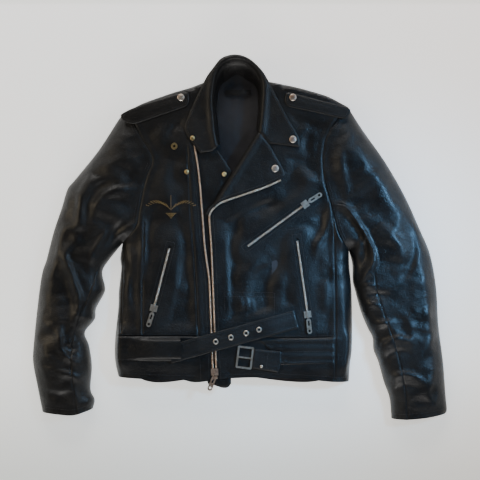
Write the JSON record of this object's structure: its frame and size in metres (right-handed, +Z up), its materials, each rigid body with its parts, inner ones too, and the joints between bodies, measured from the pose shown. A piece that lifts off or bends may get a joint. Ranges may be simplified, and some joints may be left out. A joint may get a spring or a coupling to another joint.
{
  "type": "leather riding jacket",
  "caption": "Double-breasted leather riding jacket laid flat, front up, with an off-centre zip, folded lapel, zip pockets, shoulder straps and a buckled waist belt.",
  "frame": {"origin": "under the middle of the jacket, on the surface that it lies on", "axes": "+Z up out of the front of the jacket, +Y from hem to collar, +X across the jacket towards the wearer's left sleeve"},
  "size_m": [0.878, 0.768, 0.056],
  "materials": {
    "leather": "semi-gloss grained black leather, lined",
    "lining": "dark satin lining",
    "zip_tape": "woven black tape",
    "nickel": "nickel plate, lightly worn",
    "worn_brass": "metal teeth worn to a copper tone"
  },
  "bodies": {
    "root": {"back_lining": "lining", "back_panel": "leather", "belt_band": "leather", "belt_channel": "leather", "buckle_rivet": "nickel", "buckle_strap": "leather", "chest_pocket_bag": "lining", "chest_zip_teeth": "nickel", "collar_fall": "leather", "collar_stand": "leather", "front_left": "leather", "front_right": "leather", "hand_left_pocket_bag": "lining", "hand_left_zip_teeth": "nickel", "hand_right_pocket_bag": "lining", "hand_right_zip_teeth": "nickel", "hanger_loop": "leather", "side_panel_left": "leather", "side_panel_right": "leather", "sleeve_head_left": "leather", "sleeve_head_right": "leather", "snap_socket_chest": "nickel", "stud_chest": "nickel", "wind_flap": "leather", "yoke_left": "leather", "yoke_right": "leather", "zip_tape_left": "zip_tape", "zip_tape_right": "zip_tape", "zip_teeth_left": "worn_brass", "zip_teeth_right": "worn_brass"},
    "sleeve_right": {"upper_sleeve_right": "leather"},
    "forearm_right": {"forearm_right": "leather"},
    "sleeve_left": {"upper_sleeve_left": "leather"},
    "forearm_left": {"forearm_left": "leather"},
    "epaulette_right": {"epaulette_right": "leather", "snap_cap_epaulette_right": "nickel"},
    "epaulette_left": {"epaulette_left": "leather", "snap_cap_epaulette_left": "nickel"},
    "collar_wing_right": {"collar_wing_right": "leather", "stud_collar_right": "nickel"},
    "collar_wing_left": {"collar_wing_left": "leather", "snap_cap_collar_left": "nickel"},
    "lapel": {"lapel_left": "leather", "snap_cap_lapel": "nickel", "zip_teeth_lapel": "nickel"},
    "main_slider": {"zip_slider": "nickel"},
    "main_pull": {"zip_pull": "nickel"},
    "chest_slider": {"chest_zip_slider": "nickel"},
    "chest_pull": {"chest_zip_pull": "nickel"},
    "hand_left_slider": {"hand_left_zip_slider": "nickel"},
    "hand_left_pull": {"hand_left_zip_pull": "nickel"},
    "hand_right_slider": {"hand_right_zip_slider": "nickel"},
    "hand_right_pull": {"hand_right_zip_pull": "nickel"},
    "belt_strap": {"belt_strap": "leather", "belt_eyelet_1": "nickel", "belt_eyelet_2": "nickel", "belt_eyelet_3": "nickel", "belt_eyelet_4": "nickel"},
    "buckle_frame": {"buckle_frame": "nickel"},
    "buckle_prong": {"buckle_prong": "nickel"}
  },
  "joints": [
    {"name": "right_shoulder_swing", "type": "hinge", "parent": "root", "child": "sleeve_right", "pos_m": [-0.326, 0, 0.025], "axis": [0, 0, -1], "range_deg": [0, 25]},
    {"name": "left_shoulder_swing", "type": "hinge", "parent": "root", "child": "sleeve_left", "pos_m": [0.31, -0.021, 0.025], "axis": [0, 0, 1], "range_deg": [0, 25]},
    {"name": "right_elbow_bend", "type": "hinge", "parent": "sleeve_right", "child": "forearm_right", "pos_m": [-0.383, -0.19, 0.052], "axis": [-1, 0, 0], "range_deg": [0, 70]},
    {"name": "left_elbow_bend", "type": "hinge", "parent": "sleeve_left", "child": "forearm_left", "pos_m": [0.348, -0.195, 0.052], "axis": [-0.9863, -0.165, 0], "range_deg": [0, 70]},
    {"name": "right_epaulette_lift", "type": "hinge", "parent": "root", "child": "epaulette_right", "pos_m": [-0.25, 0.26, 0.0456], "axis": [0.2779, -0.9606, 0], "range_deg": [0, 80]},
    {"name": "left_epaulette_lift", "type": "hinge", "parent": "root", "child": "epaulette_left", "pos_m": [0.227, 0.258, 0.0456], "axis": [0.19, 0.9818, 0], "range_deg": [0, 80]},
    {"name": "right_collar_lift", "type": "hinge", "parent": "root", "child": "collar_wing_right", "pos_m": [-0.0497, 0.26, 0.0482], "axis": [0, 1, 0], "range_deg": [0, 90]},
    {"name": "left_collar_lift", "type": "hinge", "parent": "root", "child": "collar_wing_left", "pos_m": [0.0437, 0.26, 0.0482], "axis": [0, -1, 0], "range_deg": [0, 90]},
    {"name": "lapel_unroll", "type": "hinge", "parent": "root", "child": "lapel", "pos_m": [-0.067, 0.055, 0.0446], "axis": [-0.519, -0.8548, 0], "range_deg": [0, 110]},
    {"name": "main_zip_travel", "type": "slide", "parent": "root", "child": "main_slider", "axis": [-0.0384, 0.9993, 0], "range_m": [0, 0.17]},
    {"name": "main_pull_flip", "type": "hinge", "parent": "main_slider", "child": "main_pull", "pos_m": [-0.05393, -0.28979, 0.0462], "axis": [-0.9272, 0.3746, 0], "range_deg": [0, 110]},
    {"name": "chest_zip_travel", "type": "slide", "parent": "root", "child": "chest_slider", "axis": [-0.8079, -0.5893, 0], "range_m": [0, 0.125]},
    {"name": "chest_pull_flip", "type": "hinge", "parent": "chest_slider", "child": "chest_pull", "pos_m": [0.14311, 0.07619, 0.0462], "axis": [0.5299, -0.848, 0], "range_deg": [0, 110]},
    {"name": "hand_left_zip_travel", "type": "slide", "parent": "root", "child": "hand_left_slider", "axis": [-0.1396, 0.9902, 0], "range_m": [0, 0.135]},
    {"name": "hand_left_pull_flip", "type": "hinge", "parent": "hand_left_slider", "child": "hand_left_pull", "pos_m": [0.14223, -0.16871, 0.0462], "axis": [-0.9945, -0.1045, 0], "range_deg": [0, 110]},
    {"name": "hand_right_zip_travel", "type": "slide", "parent": "root", "child": "hand_right_slider", "axis": [0.2515, 0.9679, 0], "range_m": [0, 0.112]},
    {"name": "hand_right_pull_flip", "type": "hinge", "parent": "hand_right_slider", "child": "hand_right_pull", "pos_m": [-0.18421, -0.15552, 0.0462], "axis": [-0.9511, 0.309, 0], "range_deg": [0, 110]},
    {"name": "belt_strap_lift", "type": "hinge", "parent": "root", "child": "belt_strap", "pos_m": [-0.124, -0.2368, 0.05], "axis": [0.2671, -0.9637, 0], "range_deg": [0, 60]},
    {"name": "buckle_tilt", "type": "hinge", "parent": "root", "child": "buckle_frame", "pos_m": [0.02647, -0.25264, 0.0457], "axis": [0.1219, 0.9925, 0], "range_deg": [0, 60]},
    {"name": "prong_lift", "type": "hinge", "parent": "buckle_frame", "child": "buckle_prong", "pos_m": [0.02647, -0.25264, 0.0483], "axis": [0.1219, 0.9925, 0], "range_deg": [0, 90]}
  ]
}
